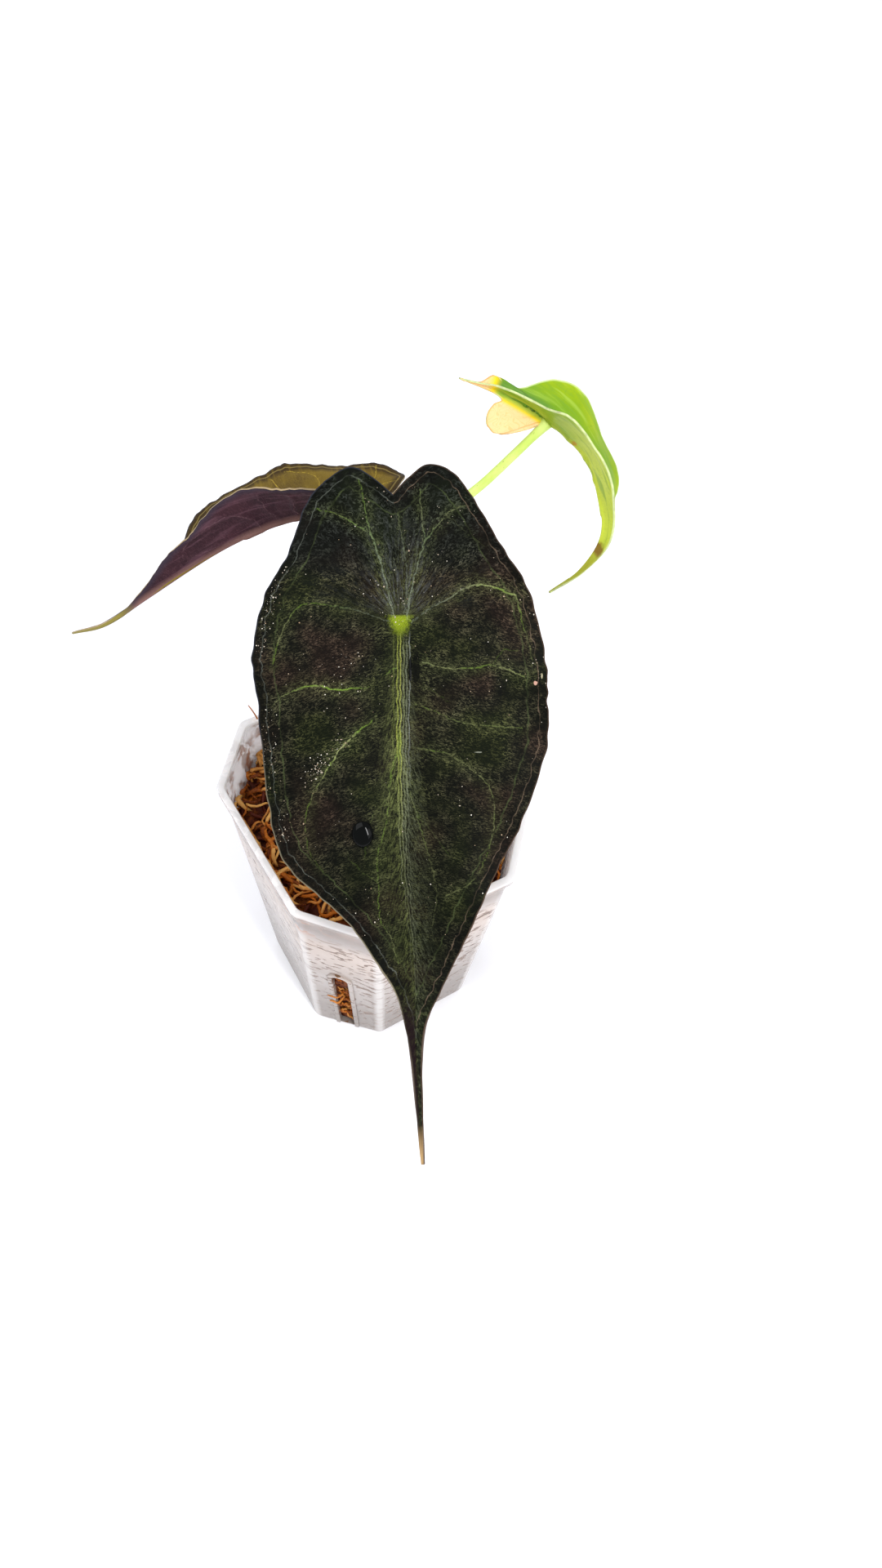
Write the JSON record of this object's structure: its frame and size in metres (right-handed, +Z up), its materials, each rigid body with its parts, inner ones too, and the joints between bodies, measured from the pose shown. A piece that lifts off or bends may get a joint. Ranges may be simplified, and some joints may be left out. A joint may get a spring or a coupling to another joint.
{
  "type": "potted alocasia plant",
  "caption": "Young aroid with a long dark peltate leaf, a folded purple-backed leaf and an old lime leaf on thin stalks, rooted in moss in a clear eight-sided slotted nursery pot.",
  "frame": {"origin": "middle of the pot's base, on the surface that it stands on", "axes": "+Z up, -Y towards the side that the largest leaf hangs over, +X to the side of the old lime leaf"},
  "size_m": [0.109, 0.1325, 0.1574],
  "materials": {
    "pot": "clear polypropylene, milky where it is wet inside",
    "moss": "wet long-fibre sphagnum moss, orange-brown",
    "stem": "ringed corky stem",
    "stalk": "smooth green leaf stalk",
    "stalk_pale": "smooth yellow-green leaf stalk with brown flecks",
    "leaf_dark": "satin near-black green leaf with paler veins",
    "leaf_purple": "satin leaf, olive above and purple beneath",
    "leaf_lime": "old yellow-green leaf with a cream lobe"
  },
  "bodies": {
    "root": {"pot": "pot", "moss": "moss", "stem": "stem", "stalk_front": "stalk", "stalk_left": "stalk", "stalk_right": "stalk_pale", "leaf_front": "leaf_dark", "leaf_left": "leaf_purple", "leaf_right": "leaf_lime"}
  },
  "joints": []
}
